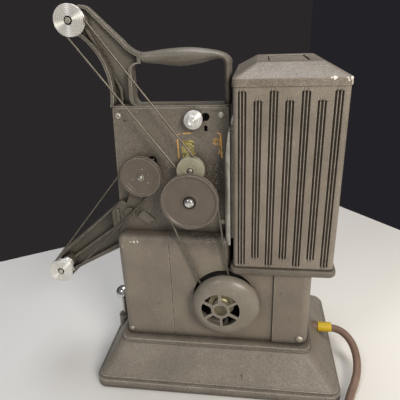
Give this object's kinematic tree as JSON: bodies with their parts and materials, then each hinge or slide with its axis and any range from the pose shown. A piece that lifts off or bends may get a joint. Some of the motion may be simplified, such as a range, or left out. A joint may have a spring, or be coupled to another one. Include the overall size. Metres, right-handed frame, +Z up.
{
  "type": "cine film projector",
  "caption": "Table-top cine film projector with belt-driven reel arms, ribbed lamp house, carrying handle and mains cord.",
  "frame": {"origin": "middle of the object's box on the table, the free cord left out", "axes": "+X towards the lamp end, +Y towards the film side, -Y is the belt side that the picture shows, +Z up"},
  "size_m": [0.3248, 0.3209, 0.3643],
  "materials": {
    "hammertone": "taupe grey hammertone enamel on cast metal",
    "satin_casting": "satin brown-grey enamel",
    "grey_pulley": "light grey enamel",
    "dark_steel": "black painted sheet steel",
    "bright_steel": "bright nickelled steel",
    "chrome": "polished chrome plate",
    "turned_aluminium": "spun aluminium with turned rings",
    "brass": "bare brass",
    "spring_wire": "dull coiled spring wire",
    "black_plastic": "moulded black plastic",
    "bakelite": "brown moulded plug",
    "rubber_pad": "black rubber",
    "cord_rubber": "aged brown rubber",
    "yellow_tag": "plain yellow band",
    "lamp_glass": "clear lamp glass",
    "lens_glass": "polished optical glass"
  },
  "bodies": {
    "chassis": {"base_casting": "hammertone", "base_bottom_plate": "dark_steel", "base_pads": "rubber_pad", "pedestal_housing": "hammertone", "pedestal_rear_cover": "hammertone", "motor_body": "dark_steel", "motor_cover": "satin_casting", "mechanism_case": "hammertone", "belt_side_plate": "hammertone", "shaft_bushings": "brass", "oil_cup": "hammertone", "housing_screws": "bright_steel", "handle_and_upper_arm": "hammertone", "upper_belt": "spring_wire", "motor_belt": "spring_wire", "aperture_plate": "bright_steel", "lens_holder": "hammertone", "lamp_tray": "hammertone", "lamp_socket": "brass", "lamp_bulb": "lamp_glass", "lamp_mirror": "bright_steel", "light_shroud": "chrome", "condenser_lens": "lens_glass", "control_bodies": "dark_steel", "strain_relief": "cord_rubber", "mains_cord": "cord_rubber", "cord_tag": "yellow_tag", "cord_coil": "cord_rubber", "mains_plug": "bakelite"},
    "motor_rotor": {"motor_shaft": "bright_steel", "motor_pulley": "brass", "blower_fan": "turned_aluminium"},
    "main_drive": {"main_shaft": "chrome", "main_pulley": "satin_casting"},
    "feed_drive": {"feed_shaft": "bright_steel", "feed_pulley": "grey_pulley"},
    "takeup_drive": {"takeup_shaft": "dark_steel", "takeup_pulley": "satin_casting"},
    "upper_reel_drive": {"upper_spindle": "bright_steel", "upper_disc": "turned_aluminium"},
    "folding_arm": {"lower_arm": "hammertone", "lower_belt": "spring_wire"},
    "lower_reel_drive": {"lower_spindle": "bright_steel", "lower_disc": "turned_aluminium"},
    "feed_sprocket": {"upper_sprocket": "chrome"},
    "takeup_sprocket": {"lower_sprocket": "chrome"},
    "shutter": {"shutter_disc": "dark_steel"},
    "framing": {"framing_knob": "turned_aluminium"},
    "lens": {"lens_barrel": "chrome", "lens_glass": "lens_glass"},
    "gate_shoe": {"pressure_shoe": "bright_steel"},
    "feed_keeper": {"upper_keeper": "bright_steel"},
    "takeup_keeper": {"lower_keeper": "bright_steel"},
    "lamp_house": {"lamp_house_body": "hammertone", "lamp_house_cap": "hammertone", "vent_baffle": "dark_steel"},
    "speed_control": {"speed_knob": "black_plastic"},
    "lamp_switch": {"switch_lever": "bright_steel"},
    "levelling_screw": {"tilt_screw": "bright_steel", "tilt_knob": "chrome"}
  },
  "joints": [
    {"name": "motor_spin", "type": "hinge", "parent": "chassis", "child": "motor_rotor", "pos_m": [0.031, 0, 0.089], "axis": [0, 1, 0], "continuous": true},
    {"name": "main_pulley_spin", "type": "hinge", "parent": "chassis", "child": "main_drive", "pos_m": [0.0039, 0, 0.1985], "axis": [0, 1, 0], "continuous": true},
    {"name": "feed_pulley_spin", "type": "hinge", "parent": "chassis", "child": "feed_drive", "pos_m": [0.0045, 0, 0.2254], "axis": [0, 1, 0], "continuous": true},
    {"name": "takeup_pulley_spin", "type": "hinge", "parent": "chassis", "child": "takeup_drive", "pos_m": [-0.0419, 0, 0.2184], "axis": [0, 1, 0], "continuous": true},
    {"name": "upper_reel_spin", "type": "hinge", "parent": "chassis", "child": "upper_reel_drive", "pos_m": [-0.0897, 0, 0.3518], "axis": [0, 1, 0], "continuous": true},
    {"name": "lower_reel_spin", "type": "hinge", "parent": "folding_arm", "child": "lower_reel_drive", "pos_m": [-0.1369, 0, 0.1135], "axis": [0, 1, 0], "continuous": true},
    {"name": "upper_sprocket_spin", "type": "hinge", "parent": "chassis", "child": "feed_sprocket", "pos_m": [-0.0167, 0, 0.257], "axis": [0, 1, 0], "continuous": true},
    {"name": "lower_sprocket_spin", "type": "hinge", "parent": "chassis", "child": "takeup_sprocket", "pos_m": [-0.0167, 0, 0.177], "axis": [0, 1, 0], "continuous": true},
    {"name": "shutter_spin", "type": "hinge", "parent": "chassis", "child": "shutter", "pos_m": [0.0183, -0.002, 0.215], "axis": [1, 0, 0], "continuous": true},
    {"name": "lower_arm_fold", "type": "hinge", "parent": "chassis", "child": "folding_arm", "pos_m": [-0.0419, -0.027, 0.2184], "axis": [0, 1, 0], "range_deg": [0, 80]},
    {"name": "framing_turn", "type": "hinge", "parent": "chassis", "child": "framing", "pos_m": [0.0072, -0.027, 0.2687], "axis": [0, 1, 0], "range_deg": [-60, 60]},
    {"name": "lens_focus", "type": "slide", "parent": "chassis", "child": "lens", "axis": [-1, 0, 0], "range_m": [-0.002, 0.01]},
    {"name": "gate_shoe_open", "type": "slide", "parent": "chassis", "child": "gate_shoe", "axis": [-1, 0, 0], "range_m": [0, 0.004], "stiffness_N_per_m": 200, "springref_m": -0.002},
    {"name": "upper_keeper_open", "type": "hinge", "parent": "chassis", "child": "feed_keeper", "pos_m": [-0.0299, 0.008, 0.27], "axis": [0, 1, 0], "range_deg": [0, 35], "stiffness_Nm_per_rad": 0.05, "springref_deg": -17.19},
    {"name": "lower_keeper_open", "type": "hinge", "parent": "chassis", "child": "takeup_keeper", "pos_m": [-0.0299, 0.008, 0.164], "axis": [0, -1, 0], "range_deg": [0, 35], "stiffness_Nm_per_rad": 0.05, "springref_deg": -17.19},
    {"name": "lamp_house_lift", "type": "slide", "parent": "chassis", "child": "lamp_house", "axis": [0, 0, 1], "range_m": [0, 0.2]},
    {"name": "speed_turn", "type": "hinge", "parent": "chassis", "child": "speed_control", "pos_m": [-0.0367, 0.044, 0.112], "axis": [0, 1, 0], "range_deg": [0, 270]},
    {"name": "lamp_switch_tilt", "type": "hinge", "parent": "chassis", "child": "lamp_switch", "pos_m": [-0.0047, 0.049, 0.138], "axis": [1, 0, 0], "range_deg": [0, 50]},
    {"name": "levelling_screw_down", "type": "slide", "parent": "chassis", "child": "levelling_screw", "axis": [0, 0, -1], "range_m": [0, 0.02]}
  ],
  "couplings": [
    {"joint": "main_pulley_spin", "follows": "motor_spin", "ratio": 0.45082},
    {"joint": "feed_pulley_spin", "follows": "motor_spin", "ratio": -0.45082},
    {"joint": "takeup_pulley_spin", "follows": "motor_spin", "ratio": 0.27049},
    {"joint": "upper_reel_spin", "follows": "motor_spin", "ratio": -0.41614},
    {"joint": "lower_reel_spin", "follows": "motor_spin", "ratio": 0.43381},
    {"joint": "upper_sprocket_spin", "follows": "motor_spin", "ratio": 0.037568},
    {"joint": "lower_sprocket_spin", "follows": "motor_spin", "ratio": 0.037568},
    {"joint": "shutter_spin", "follows": "motor_spin", "ratio": 0.45082}
  ]
}
